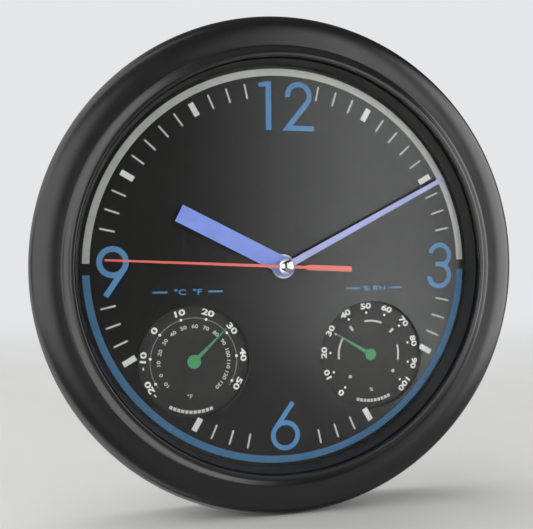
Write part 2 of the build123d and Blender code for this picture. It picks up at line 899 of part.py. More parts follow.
# The seconds wheel's arbor runs through both pipes to the second hand
second_hand_front = second_hand_back + second_hand_thickness
with BuildPart() as seconds_wheel:
    toothed(seconds_back, seconds_front, centre_place, seconds_teeth, motor_module, seconds_phase)
    toothed(
        seconds_front,
        third_front + pinion_overlap,
        centre_place,
        seconds_pinion_teeth,
        seconds_pinion_module,
        third_heading,
    )
    bar(plate_front - pivot_length + end_shake, seconds_back, centre_place, pivot_radius)
    bar(plate_front + end_shake, second_hand_front + cap_height / 2, centre_place, arbor_radius)
finish(seconds_wheel, "seconds_wheel")

with BuildPart() as third_wheel:
    toothed(third_back, third_front, third_place, third_teeth, seconds_pinion_module, third_phase)
    toothed(
        third_front,
        centre_front + pinion_overlap,
        third_place,
        third_pinion_teeth,
        centre_module,
        third_pinion_phase,
    )
    arbor(plate_front, plate_back, third_place)
finish(third_wheel, "third_wheel")

minute_hand_front = minute_hand_back + minute_hand_thickness
with BuildPart() as centre_wheel:
    toothed(centre_back, centre_front, centre_place, centre_teeth, centre_module, third_heading)
    cannon_front = minute_front + end_shake
    toothed(cannon_back, cannon_front, centre_place, cannon_teeth, dial_work_module, minute_heading)
    bar(centre_back, minute_hand_front + hand_lift, centre_place, minute_pipe_radius)
    bar(
        centre_back,
        minute_hand_front + hand_lift,
        centre_place,
        arbor_radius + running_clearance,
        Mode.SUBTRACT,
    )
finish(centre_wheel, "centre_wheel")

with BuildPart() as minute_wheel:
    toothed(minute_back, minute_front, minute_place, minute_teeth, dial_work_module, minute_phase)
    toothed(
        minute_front,
        hour_front,
        minute_place,
        minute_pinion_teeth,
        dial_work_module,
        minute_pinion_phase,
    )
    bar(
        minute_back,
        hour_front,
        minute_place,
        minute_post_radius + running_clearance,
        Mode.SUBTRACT,
    )
finish(minute_wheel, "minute_wheel")

hour_hand_front = hour_hand_back + hour_hand_thickness
with BuildPart() as hour_wheel:
    toothed(hour_back, hour_front, centre_place, hour_teeth, dial_work_module, minute_heading)
    bar(hour_back, hour_hand_front + hour_collet_height, centre_place, hour_pipe_radius)
    bar(
        hour_back,
        hour_hand_front + hour_collet_height,
        centre_place,
        minute_pipe_radius + running_clearance,
        Mode.SUBTRACT,
    )
finish(hour_wheel, "hour_wheel")

# Setting knob: a fluted disc behind the movement, its shaft and its pinion
with BuildPart() as setting_knob:
    knob_front = module_back - knob_lift
    with BuildSketch(facing(knob_front - knob_thickness, knob_place)):
        Circle(knob_radius)
        with PolarLocations(knob_radius, knob_flutes):
            Circle(knob_flute_radius, mode=Mode.SUBTRACT)
    extrude(amount=knob_thickness)
    bar(knob_front, minute_back, knob_place, knob_shaft_radius)
    toothed(minute_back, minute_front, knob_place, knob_teeth, dial_work_module, knob_phase)
    bar(minute_front, plate_back + pivot_length - end_shake, knob_place, pivot_radius)
finish(setting_knob, "setting_knob")

# Hands
with BuildPart() as hour_hand:
    with BuildSketch(facing(hour_hand_back, centre_place, hour_hand_angle)):
        Rectangle(hour_hand_width, hour_hand_length, align=(Align.CENTER, Align.MIN))
        Circle(hour_hand_hub_radius)
        Circle(hour_pipe_radius, mode=Mode.SUBTRACT)
    extrude(amount=hour_hand_thickness)
finish(hour_hand, "hour_hand")

with BuildPart() as hour_hand_collet:
    collet_front = hour_hand_front + hour_collet_height
    bar(hour_hand_front, collet_front, centre_place, hour_collet_radius)
    bar(hour_hand_front, collet_front, centre_place, hour_pipe_radius, Mode.SUBTRACT)
finish(hour_hand_collet, "hour_hand_collet")

with BuildPart() as minute_hand:
    with BuildSketch(facing(minute_hand_back, centre_place, minute_hand_angle)):
        Polygon(
            (-minute_hand_base_width / 2, 0),
            (minute_hand_base_width / 2, 0),
            (minute_hand_tip_width / 2, minute_hand_length),
            (-minute_hand_tip_width / 2, minute_hand_length),
            align=None,
        )
        Circle(minute_hand_hub_radius)
        Circle(minute_pipe_radius, mode=Mode.SUBTRACT)
    extrude(amount=minute_hand_thickness)
finish(minute_hand, "minute_hand")

with BuildPart() as second_hand:
    with BuildSketch(facing(second_hand_back, centre_place, second_hand_angle)):
        Polygon(
            (-second_hand_base_width / 2, -second_hand_neck),
            (second_hand_base_width / 2, -second_hand_neck),
            (second_hand_base_width / 2, 0),
            (second_hand_tip_width / 2, second_hand_length),
            (-second_hand_tip_width / 2, second_hand_length),
            (-second_hand_base_width / 2, 0),
            align=None,
        )
        with Locations((0, -second_hand_neck)):
            Rectangle(
                second_hand_tail_width,
                second_hand_tail - second_hand_neck,
                align=(Align.CENTER, Align.MAX),
            )
    extrude(amount=second_hand_thickness)
    tube_back = minute_hand_front + 2 * hand_lift
    bar(tube_back, second_hand_front, centre_place, second_hand_tube_radius)
    bar(tube_back, second_hand_front, centre_place, arbor_radius, Mode.SUBTRACT)
finish(second_hand, "second_hand")

# Polished domed cap over the hands' axis
with BuildPart() as second_hand_cap:
    with BuildSketch(section_plane):
        with BuildLine():
            Polyline(
                (0, second_hand_front + cap_height),
                (0, second_hand_front),
                (cap_radius, second_hand_front),
                (cap_radius, second_hand_front + cap_edge_height),
            )
            TangentArc(
                (0, second_hand_front + cap_height),
                (cap_radius, second_hand_front + cap_edge_height),
                tangent=(1, 0),
            )
        make_face()
    revolve(axis=Axis.Y)
    bar(second_hand_front, second_hand_front + cap_height / 2, centre_place, arbor_radius, Mode.SUBTRACT)
finish(second_hand_cap, "second_hand_cap")

# Gauges. The two differ only in place, hub and reading.
cup_back = dial_back - cup_depth
cup_floor = cup_back + cup_wall
flange_back = dial_back - cup_wall
face_back = gauge_face_depth - gauge_face_thickness
hub_front = needle_back + needle_hub_height
strip_back = cup_floor + cup_hub_height + strip_lift
strip_start = strip_collet_radius + strip_thickness / 2
strip_end = strip_start + strip_turns * strip_pitch


def gauge_cup(name, place):
    """A shallow cup with a flange on the dial's back, a ledge for the face and a bearing hub."""
    with BuildPart() as cup:
        bar(cup_back, flange_back, place, cup_radius)
        bar(flange_back, dial_back, place, cup_flange_radius)
        bar(cup_floor, face_back - cup_ledge_height, place, cup_bore, Mode.SUBTRACT)
        bar(face_back - cup_ledge_height, face_back, place, cup_bore - cup_ledge, Mode.SUBTRACT)
        bar(face_back, dial_back, place, cup_bore, Mode.SUBTRACT)
        bar(cup_floor, cup_floor + cup_hub_height, place, cup_hub_radius)
        bar(cup_floor, cup_floor + cup_hub_height, place, arbor_radius + running_clearance, Mode.SUBTRACT)
        post_place = (place[0] + strip_end + strip_thickness / 2 + strip_post_radius, place[1])
        bar(cup_floor, strip_back + strip_width, post_place, strip_post_radius)
        with BuildSketch(facing(cup_back, place)):
            with PolarLocations(cup_vent_circle, cup_vent_count, start_angle=180 / cup_vent_count):
                Circle(cup_vent_radius)
        extrude(amount=cup_wall, mode=Mode.SUBTRACT)
    finish(cup, f"{name}_cup")


def gauge_face(name, place):
    with BuildPart() as face:
        bar(face_back, gauge_face_depth, place, cup_bore - gauge_face_clearance)
        bar(face_back, gauge_face_depth, place, gauge_face_hole_radius, Mode.SUBTRACT)
    finish(face, f"{name}_face")


def gauge_needle(name, place, angle, hub_radius):
    """A tapered pointer with a round hub, pressed on its arbor."""
    with BuildPart() as needle:
        with BuildSketch(facing(needle_back, place, angle)):
            Polygon(
                (-needle_base_width / 2, -needle_root),
                (needle_base_width / 2, -needle_root),
                (needle_tip_width / 2, needle_length),
                (-needle_tip_width / 2, needle_length),
                align=None,
            )
        extrude(amount=needle_thickness)
        bar(needle_back, hub_front, place, hub_radius)
        bar(needle_back, needle_back + needle_thickness, place, arbor_radius, Mode.SUBTRACT)
    finish(needle, f"{name}_needle")


def gauge_arbor(name, place):
    """The needle's spindle, with the collet that the strip's inner end is fixed to."""
    with BuildPart() as spindle:
        bar(cup_floor + end_shake, needle_back + needle_thickness, place, arbor_radius)
        bar(strip_back, strip_back + strip_width, place, strip_collet_radius)
    finish(spindle, f"{name}_arbor")


def gauge_strip(name, place):
    """A flat spiral strip of half-turns, each a little wider than the one before."""
    with BuildPart() as strip:
        with BuildSketch(facing(strip_back, place)):
            with BuildLine():
                for half_turn in range(2 * strip_turns):
                    centre = (half_turn % 2 * strip_pitch / 2, 0)
                    radius = strip_start + half_turn * strip_pitch / 2
                    for side in (-1, 1):
                        side_radius = radius + side * strip_thickness / 2
                        CenterArc(centre, side_radius, half_turn % 2 * 180, 180)
                for end in (strip_start, strip_end):
                    Line((end - strip_thickness / 2, 0), (end + strip_thickness / 2, 0))
            make_face()
        extrude(amount=strip_width)
    finish(strip, f"{name}_coil")


gauges = (
    ("thermometer", gauge_places[0], thermometer_angle, thermometer_hub_radius),
    ("hygrometer", gauge_places[1], hygrometer_angle, hygrometer_hub_radius),
)
for name, place, angle, hub_radius in gauges:
    gauge_cup(name, place)
    gauge_face(name, place)
    gauge_needle(name, place, angle, hub_radius)
    gauge_arbor(name, place)
    gauge_strip(name, place)

gap = strip_pitch - strip_thickness
print(f"least gap between a strip's turns: {gap:.2f} mm")
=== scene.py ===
from math import acos, atan2, cos, degrees, hypot, pi, radians, sin

import bmesh
import bpy
from mathutils import Matrix, Vector


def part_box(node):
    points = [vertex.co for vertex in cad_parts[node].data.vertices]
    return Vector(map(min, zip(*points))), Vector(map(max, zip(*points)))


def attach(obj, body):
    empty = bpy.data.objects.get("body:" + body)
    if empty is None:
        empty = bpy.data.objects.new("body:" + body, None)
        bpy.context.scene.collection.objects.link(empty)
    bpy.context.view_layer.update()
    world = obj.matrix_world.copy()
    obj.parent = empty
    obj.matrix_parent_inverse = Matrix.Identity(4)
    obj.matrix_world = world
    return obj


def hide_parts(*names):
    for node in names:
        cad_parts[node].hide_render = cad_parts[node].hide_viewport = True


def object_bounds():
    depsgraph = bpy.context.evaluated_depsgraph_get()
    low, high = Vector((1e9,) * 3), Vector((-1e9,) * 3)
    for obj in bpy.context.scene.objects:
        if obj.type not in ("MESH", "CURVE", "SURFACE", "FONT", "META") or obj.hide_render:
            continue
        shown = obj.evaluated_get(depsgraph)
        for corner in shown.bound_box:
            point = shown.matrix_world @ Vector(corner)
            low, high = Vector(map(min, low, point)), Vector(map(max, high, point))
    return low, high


# The looks of a round wall clock with a thermometer and a hygrometer in its dial.
# Metres. +Z is up (12 o'clock), +X is right as the clock is read, and the dial faces -Y.
# Places on the dial are (x, z) pairs, and angles on it run clockwise from 12 o'clock.

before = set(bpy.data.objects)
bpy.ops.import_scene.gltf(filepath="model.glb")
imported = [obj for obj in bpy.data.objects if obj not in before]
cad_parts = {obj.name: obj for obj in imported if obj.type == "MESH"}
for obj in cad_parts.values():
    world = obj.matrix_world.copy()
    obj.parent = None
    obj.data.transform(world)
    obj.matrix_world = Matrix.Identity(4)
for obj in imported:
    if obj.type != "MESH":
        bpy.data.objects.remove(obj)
cad_low, cad_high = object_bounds()

MM = 0.001
INK = 0.06 * MM
SUNK = 0.012 * MM


# Camera


def make_camera():
    """The photograph's viewing angle: a little left of the dial's centre, almost level with it."""
    place = Vector((-0.13709, -0.52383, 0.01121))
    target = Vector((-0.01071, -0.0285, 0.00133))
    roll = radians(-0.526)
    data = bpy.data.cameras.new("camera")
    data.lens = 55.77
    data.sensor_width = 36.0
    data.clip_start = 0.01
    data.clip_end = 50.0
    camera = bpy.data.objects.new("camera", data)
    bpy.context.scene.collection.objects.link(camera)
    aim = (target - place).to_track_quat("-Z", "Y").to_matrix()
    camera.matrix_world = Matrix.Translation(place) @ (aim @ Matrix.Rotation(roll, 3, "Z")).to_4x4()
    bpy.context.scene.camera = camera


# Materials


def linear(red, green, blue):
    """A colour given in 0 to 255 display steps, as the linear colour that a shader takes."""
    shares = [value / 255 for value in (red, green, blue)]
    return tuple(s / 12.92 if s <= 0.04045 else ((s + 0.055) / 1.055) ** 2.4 for s in shares) + (1.0,)


def shaded(colour, factor):
    return tuple(value * factor for value in colour[:3]) + (1.0,)


class Finish:
    """A material under construction: a Principled shader and the noise that varies it."""

    def __init__(self, name, roughness=0.5, metallic=0.0, **sockets):
        self.material = bpy.data.materials.new(name)
        self.material.use_nodes = True
        self.nodes = self.material.node_tree.nodes
        self.links = self.material.node_tree.links
        self.shader = self.nodes["Principled BSDF"]
        self.shader.inputs["Roughness"].default_value = roughness
        self.shader.inputs["Metallic"].default_value = metallic
        for socket, value in sockets.items():
            self.shader.inputs[socket.replace("_", " ")].default_value = value
        self.place = self.nodes.new("ShaderNodeTexCoord").outputs["Object"]

    def noise(self, size, detail=3.0, stretch=None):
        """Noise with features of about this size. Stretch draws it out along x, y and z."""
        place = self.place
        if stretch:
            mapping = self.nodes.new("ShaderNodeMapping")
            mapping.inputs["Scale"].default_value = stretch
            self.links.new(place, mapping.inputs["Vector"])
            place = mapping.outputs["Vector"]
        noise = self.nodes.new("ShaderNodeTexNoise")
        noise.inputs["Scale"].default_value = 1 / size
        noise.inputs["Detail"].default_value = detail
        self.links.new(place, noise.inputs["Vector"])
        return noise.outputs["Fac"]

    def colour(self, factor, dark, light, low=0.35, high=0.65):
        ramp = self.nodes.new("ShaderNodeValToRGB")
        ramp.color_ramp.elements[0].position = low
        ramp.color_ramp.elements[1].position = high
        ramp.color_ramp.elements[0].color = dark
        ramp.color_ramp.elements[1].color = light
        self.links.new(factor, ramp.inputs["Fac"])
        self.links.new(ramp.outputs["Color"], self.shader.inputs["Base Color"])
        return self

    def rough(self, factor, low, high):
        spread = self.nodes.new("ShaderNodeMapRange")
        spread.inputs["From Min"].default_value = 0.3
        spread.inputs["From Max"].default_value = 0.7
        spread.inputs["To Min"].default_value = low
        spread.inputs["To Max"].default_value = high
        self.links.new(factor, spread.inputs["Value"])
        self.links.new(spread.outputs["Result"], self.shader.inputs["Roughness"])
        return self

    def bump(self, factor, height, strength=0.5):
        relief = self.nodes.new("ShaderNodeBump")
        relief.inputs["Strength"].default_value = strength
        relief.inputs["Distance"].default_value = height
        self.links.new(factor, relief.inputs["Height"])
        self.links.new(relief.outputs["Normal"], self.shader.inputs["Normal"])
        return self


def moulded(name, colour, roughness=0.4, grain=0.5 * MM, relief=0.03 * MM, wear=1.0):
    """Moulded plastic: a fine grain, a slight unevenness of shade and rubbed and dull patches."""
    made = Finish(name, roughness)
    made.colour(made.noise(14 * MM), shaded(colour, 1 - 0.15 * wear), shaded(colour, 1 + 0.15 * wear))
    made.rough(made.noise(9 * MM, 5.0), roughness - 0.06 * wear, roughness + 0.08 * wear)
    made.bump(made.noise(grain, 2.0), relief, 0.35)
    return made.material


def painted(name, colour, roughness=0.45, grain=0.25 * MM, gloss=0.5):
    """Paint or ink: a faint orange peel and small differences in how thick it lies."""
    made = Finish(name, roughness, Specular_IOR_Level=gloss)
    made.colour(made.noise(6 * MM, 4.0), shaded(colour, 0.94), shaded(colour, 1.06))
    made.rough(made.noise(30 * MM), roughness - 0.02, roughness + 0.02)
    made.bump(made.noise(grain, 2.0), 0.002 * MM, 0.1)
    return made.material


def plated_ink(name, colour, roughness, metallic):
    """Silvery ink, part of whose brightness is the room's."""
    made = Finish(name, roughness, metallic)
    made.colour(made.noise(6 * MM, 4.0), shaded(colour, 0.95), shaded(colour, 1.05))
    made.rough(made.noise(20 * MM), roughness - 0.02, roughness + 0.02)
    made.bump(made.noise(0.25 * MM, 2.0), 0.002 * MM, 0.1)
    return made.material


def glossy_dial(name, colour, roughness):
    """Smooth lacquer: its shade hardly varies, and its gloss a little."""
    made = Finish(name, roughness)
    made.colour(made.noise(25 * MM, 4.0), shaded(colour, 0.97), shaded(colour, 1.03))
    made.rough(made.noise(60 * MM), roughness - 0.006, roughness + 0.006)
    made.bump(made.noise(0.2 * MM, 2.0), 0.001 * MM, 0.05)
    return made.material


def metal(name, colour, roughness, stretch=(1.0, 1.0, 1.0), grain=0.4 * MM):
    """Bare or plated metal with fine working marks, drawn out by stretch."""
    made = Finish(name, roughness, 1.0)
    marks = made.noise(grain, 4.0, stretch)
    made.colour(marks, shaded(colour, 0.88), shaded(colour, 1.05))
    made.rough(marks, max(0.04, roughness - 0.06), roughness + 0.08)
    made.bump(marks, 0.008 * MM, 0.25)
    return made.material


def clear_lens(name):
    """Clear and faintly uneven, with a low index so that it mirrors little. The lamps shine through it."""
    made = Finish(name, 0.03, IOR=1.08, Transmission_Weight=1.0)
    tint = linear(250, 252, 251)
    made.shader.inputs["Base Color"].default_value = tint
    made.bump(made.noise(40 * MM, 1.0), 0.02 * MM, 0.05)
    light_path = made.nodes.new("ShaderNodeLightPath")
    through = made.nodes.new("ShaderNodeBsdfTransparent")
    mix = made.nodes.new("ShaderNodeMixShader")
    out = made.nodes["Material Output"]
    made.links.new(light_path.outputs["Is Shadow Ray"], mix.inputs["Fac"])
    made.links.new(made.shader.outputs["BSDF"], mix.inputs[1])
    made.links.new(through.outputs["BSDF"], mix.inputs[2])
    made.links.new(mix.outputs["Shader"], out.inputs["Surface"])
    return made.material


def dress(material, *names):
    """Gives CAD nodes their finish."""
    for name in names:
        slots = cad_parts[name].data.materials
        if len(slots):
            slots[0] = material
        else:
            slots.append(material)


# Flat print: bands, discs, figures and numbers of thin ink


def polar(radius, angle, centre=(0.0, 0.0)):
    """The place at a radius and a clockwise angle in degrees."""
    turn = radians(angle)
    return (centre[0] + radius * sin(turn), centre[1] + radius * cos(turn))


def arc(radius, start, end, centre=(0.0, 0.0), step=2.0):
    count = max(2, round(abs(end - start) / step))
    return [polar(radius, start + (end - start) * i / count, centre) for i in range(count + 1)]


def add_face(mesh, outline, sunk=0.0):
    mesh.faces.new([mesh.verts.new((x, sunk, z)) for x, z in outline])


def add_band(mesh, points, width, closed=False, sunk=0.0):
    """A band along points, mitred at its corners."""
    count = len(points)
    rails = []
    for i, (x, z) in enumerate(points):
        before = points[i - 1] if i or closed else points[i]
        after = points[(i + 1) % count] if i < count - 1 or closed else points[i]
        reach_in = (x - before[0], z - before[1]) if before != (x, z) else (after[0] - x, after[1] - z)
        reach_out = (after[0] - x, after[1] - z) if after != (x, z) else reach_in
        into = atan2(reach_in[1], reach_in[0])
        bend = (atan2(reach_out[1], reach_out[0]) - into + pi) % (2 * pi) - pi
        half = width / 2 / max(0.3, cos(bend / 2))
        side = into + bend / 2 + pi / 2
        left = mesh.verts.new((x + half * cos(side), sunk, z + half * sin(side)))
        right = mesh.verts.new((x - half * cos(side), sunk, z - half * sin(side)))
        rails.append((left, right))
    for i in range(count if closed else count - 1):
        (a, b), (c, d) = rails[i], rails[(i + 1) % count]
        mesh.faces.new((a, b, d, c))


def add_disc(mesh, place, radius, sides=20):
    add_face(mesh, [polar(radius, 360 * i / sides, place) for i in range(sides)])


def add_text(mesh, text, place, height, angle=0.0, stretch=1.0, weight=0.0):
    """A number or unit sign, centred on a place, its head turned clockwise from up."""
    curve = bpy.data.curves.new("lettering", "FONT")
    curve.body = text
    curve.size = height / 0.7
    curve.align_x = "CENTER"
    curve.offset = weight
    curve.resolution_u = 3
    holder = bpy.data.objects.new("lettering", curve)
    bpy.context.scene.collection.objects.link(holder)
    bpy.context.view_layer.update()
    flat = bpy.data.meshes.new_from_object(holder)
    upright = Matrix.Rotation(pi / 2, 4, "X")
    middle = Matrix.Translation((0.0, -height / 2, 0.0))
    turn = Matrix.Rotation(radians(angle), 4, "Y")
    moved = Matrix.Translation((place[0], 0.0, place[1])) @ turn @ upright
    flat.transform(moved @ Matrix.Diagonal((stretch, 1.0, 1.0, 1.0)) @ middle)
    mesh.from_mesh(flat)
    bpy.data.objects.remove(holder)
    bpy.data.curves.remove(curve)
    bpy.data.meshes.remove(flat)


def new_piece(name, mesh, material, body, smooth=False):
    """Turns a bmesh into a piece that rides on a body."""
    data = bpy.data.meshes.new(name)
    mesh.to_mesh(data)
    mesh.free()
    data.materials.append(material)
    for polygon in data.polygons:
        polygon.use_smooth = smooth
    piece = bpy.data.objects.new(name, data)
    bpy.context.scene.collection.objects.link(piece)
    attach(piece, body)
    return piece


def printed(name, mesh, depth, material, body="case", height=INK):
    """Raises flat outlines into ink that lies on a surface at a depth."""
    bmesh.ops.remove_doubles(mesh, verts=mesh.verts, dist=1e-7)
    raised = bmesh.ops.extrude_face_region(mesh, geom=mesh.faces[:])
    front = [item for item in raised["geom"] if isinstance(item, bmesh.types.BMVert)]
    bmesh.ops.translate(mesh, verts=front, vec=(0.0, -height, 0.0))
    bmesh.ops.translate(mesh, verts=mesh.verts, vec=(0.0, -depth, 0.0))
    bmesh.ops.recalc_face_normals(mesh, faces=mesh.faces)
    return new_piece(name, mesh, material, body)


# Figures on the dial


def tailed_ring(mesh, centre, radius, tail, width, side):
    """A 6 or a 9: a ring and a straight tail that leaves it on a tangent. Side is 1 or -1."""
    add_band(mesh, arc(radius, 0, 354, centre, 6), width, closed=True)
    reach = (tail[0] - centre[0], tail[1] - centre[1])
    heading = atan2(reach[1], reach[0]) + side * acos(radius / hypot(*reach))
    touch = (centre[0] + radius * cos(heading), centre[1] + radius * sin(heading))
    add_band(mesh, [touch, tail], width, sunk=SUNK)


def add_figures(mesh):
    """The blue 12, 3, 6 and 9."""
    one = [(-10.35, 84.5), (-6.85, 84.5), (-6.85, 114.4), (-9.8, 114.4)]
    one += [(-14.8, 113.2), (-14.8, 110.8), (-10.35, 111.1)]
    add_face(mesh, [(x * MM, z * MM) for x, z in one])
    two_centre = (10.75 * MM, 106.05 * MM)
    two_foot = 85.9 * MM
    two = arc(7.05 * MM, -98, 131, two_centre, 6) + [(3.4 * MM, two_foot), (20.8 * MM, two_foot)]
    add_band(mesh, two, 3.2 * MM)
    upper, lower = (106.2 * MM, 5.9 * MM), (105.6 * MM, -7.1 * MM)
    add_band(mesh, arc(6.6 * MM, -78, 172, upper, 6), 3.1 * MM)
    add_band(mesh, arc(7.2 * MM, 0, 262, lower, 6), 3.1 * MM, sunk=SUNK)
    add_band(mesh, [(103.2 * MM, 0.1 * MM), (106.0 * MM, 0.1 * MM)], 3.0 * MM, sunk=2 * SUNK)
    tailed_ring(mesh, (0.5 * MM, -105.5 * MM), 7.9 * MM, (5.4 * MM, -85.1 * MM), 3.0 * MM, 1)
    tailed_ring(mesh, (-104.6 * MM, 4.0 * MM), 7.8 * MM, (-108.9 * MM, -16.3 * MM), 3.4 * MM, 1)


make_camera()
dial_depth = -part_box("dial_plate")[0].y
face_depth = -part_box("thermometer_face")[0].y


def middle(node):
    low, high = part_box(node)
    return ((low.x + high.x) / 2, (low.z + high.z) / 2)


thermometer_place = middle("thermometer_face")
hygrometer_place = middle("hygrometer_face")

# Colours and finishes
black_plastic = moulded("bezel_plastic", (0.0105, 0.0100, 0.0100, 1.0), 0.23, relief=0.012 * MM, wear=0.3)
silver_ink = plated_ink("silver_ink", linear(178, 178, 172), 0.36, 0.6)
blue_ink = painted("blue_ink", linear(61, 114, 161), 0.4, gloss=0.8)
ring_ink = painted("ring_ink", linear(56, 100, 136), 0.42)
bar_ink = plated_ink("bar_ink", linear(205, 206, 200), 0.38, 0.3)
white_ink = painted("white_ink", linear(226, 226, 218), 0.5)
tick_ink = painted("tick_ink", linear(186, 186, 180), 0.5)
grey_ink = painted("grey_ink", linear(120, 120, 120), 0.5)
cap_plating = metal("cap_plating", (0.68, 0.68, 0.7, 1.0), 0.09)

dress(clear_lens("lens_glass"), "lens")
dress(moulded("spacer_plastic", (0.012, 0.012, 0.0115, 1.0), 0.5), "spacer_ring")
dress(glossy_dial("dial_paint", (0.0095, 0.0090, 0.0088, 1.0), 0.19), "dial_plate")
dress(
    painted("gauge_face_paint", (0.0285, 0.0265, 0.0265, 1.0), 0.34, gloss=0.28),
    "thermometer_face", "hygrometer_face",
)
dress(moulded("cover_plastic", (0.021, 0.021, 0.0215, 1.0), 0.46, 0.9 * MM, 0.06 * MM), "rear_cover")
dress(metal("cup_metal", (0.55, 0.55, 0.56, 1.0), 0.35), "thermometer_cup", "hygrometer_cup")
dress(painted("hour_hand_paint", linear(116, 134, 206), 0.35), "hour_hand")
dress(painted("minute_hand_paint", linear(153, 157, 204), 0.35), "minute_hand")
dress(painted("second_hand_paint", linear(206, 92, 82), 0.3, gloss=1.0), "second_hand")
dress(painted("needle_paint", linear(66, 132, 86), 0.4), "thermometer_needle", "hygrometer_needle")
dress(painted("collet_paint", linear(96, 106, 140), 0.3), "hour_hand_collet")
dress(
    moulded("movement_plastic", (0.045, 0.045, 0.048, 1.0), 0.42, 0.6 * MM),
    "movement_front_case", "movement_rear_case",
)
dress(moulded("bridge_plastic", (0.55, 0.55, 0.52, 1.0), 0.45), "train_bridge")
dress(
    moulded("gear_plastic", (0.62, 0.60, 0.55, 1.0), 0.4),
    "seconds_wheel", "third_wheel", "centre_wheel", "minute_wheel", "hour_wheel", "intermediate_wheel",
)
dress(moulded("knob_plastic", (0.16, 0.16, 0.165, 1.0), 0.4), "setting_knob")
dress(moulded("washer_rubber", (0.02, 0.02, 0.02, 1.0), 0.7), "rubber_washer")
dress(metal("nut_brass", (0.75, 0.6, 0.34, 1.0), 0.28), "mounting_nut")
dress(metal("washer_steel", (0.6, 0.6, 0.61, 1.0), 0.32), "mounting_washer")
screw_zinc = metal("screw_steel", (0.62, 0.62, 0.64, 1.0), 0.34)
dress(screw_zinc, "rear_cover_screws", "bridge_screws")
dress(metal("motor_steel", (0.42, 0.42, 0.44, 1.0), 0.35), "stator", "rotor")
dress(metal("coil_copper", (0.72, 0.33, 0.16, 1.0), 0.3), "coil_winding")
dress(moulded("bobbin_plastic", (0.5, 0.48, 0.42, 1.0), 0.45), "coil_bobbin")
dress(painted("board_laminate", (0.03, 0.12, 0.05, 1.0), 0.4), "circuit_board")
dress(metal("crystal_can", (0.7, 0.7, 0.72, 1.0), 0.2), "quartz_crystal")
dress(moulded("chip_resin", (0.01, 0.01, 0.01, 1.0), 0.3), "ic_chip")
dress(painted("battery_sleeve", linear(92, 112, 136), 0.28), "battery_cell")
dress(
    metal("contact_plating", (0.7, 0.69, 0.66, 1.0), 0.25),
    "battery_contact_positive", "battery_contact_negative",
)
dress(metal("arbor_brass", (0.75, 0.6, 0.34, 1.0), 0.3), "thermometer_arbor", "hygrometer_arbor")
dress(metal("bimetal_strip", (0.62, 0.5, 0.32, 1.0), 0.3), "thermometer_coil", "hygrometer_coil")


def lathe(mesh, profile, sides):
    """A closed ring with the given section of (radius, depth) points, about the hands' axis."""
    rings = []
    for i in range(sides):
        angle = 2 * pi * i / sides
        rings.append([mesh.verts.new((r * sin(angle), -d, r * cos(angle))) for r, d in profile])
    for i in range(sides):
        a, b = rings[i], rings[(i + 1) % sides]
        for j in range(len(profile)):
            k = (j + 1) % len(profile)
            mesh.faces.new((a[j], a[k], b[k], b[j]))
    bmesh.ops.recalc_face_normals(mesh, faces=mesh.faces)


def swell(start, end, count):
    """Points of a soft step between two (radius, depth) points, level at both ends."""
    (r0, d0), (r1, d1) = start, end
    shares = [i / count for i in range(count + 1)]
    return [(r0 + (r1 - r0) * t, d0 + (d1 - d0) * (1 - cos(pi * t)) / 2) for t in shares]


def quarter(centre, across, up, start, end, count):
    """Points of an elliptical arc in a section, its angles measured from the radius outwards."""
    angles = [radians(start + (end - start) * i / count) for i in range(count + 1)]
    return [(centre[0] + across * cos(a), centre[1] + up * sin(a)) for a in angles]


def make_bezel():
    """The ring moulding. Its roll is lower than the CAD ring's and runs level into the flat."""
    low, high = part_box("bezel_ring")
    rim, front = high.x, -low.y
    back = rim - 5.9 * MM
    roll = rim - 14.4 * MM
    groove_inner = roll - 3.3 * MM
    ridge = groove_inner - 6.1 * MM
    lip = ridge - 1.6 * MM
    rim_depth, groove_depth = front - 8.0 * MM, front - 3.5 * MM
    lip_edge = 0.6 * MM
    lens_front = -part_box("lens")[0].y
    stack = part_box("lens")[1].x + 0.4 * MM
    stack_outer = stack + 2.4 * MM
    stack_back = dial_depth - 8.5 * MM
    wall = 2.6 * MM
    edge = 0.5 * MM
    profile = [(back - edge, 0.0), (back, edge)]
    profile += quarter((roll, rim_depth), rim - roll, groove_depth - rim_depth, 0, 90, 24)
    profile += swell((groove_inner, groove_depth), (ridge, front), 20)
    profile += quarter((lip + lip_edge, front - lip_edge), -lip_edge, lip_edge, 90, 0, 6)
    profile += [(lip, lens_front), (stack, lens_front), (stack, stack_back), (stack_outer, stack_back)]
    profile += [(stack_outer, groove_depth - wall), (rim - wall - 8.0 * MM, groove_depth - wall)]
    profile += [(rim - wall, rim_depth), (back - wall, 0.0)]
    mesh = bmesh.new()
    lathe(mesh, profile, 288)
    bezel = new_piece("bezel_moulding", mesh, black_plastic, "case", smooth=True)
    bezel.data.set_sharp_from_angle(angle=radians(38))
    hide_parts("bezel_ring")


make_bezel()


CROSS_SINK, CROSS_NARROWING = 1.0 * MM, 0.7


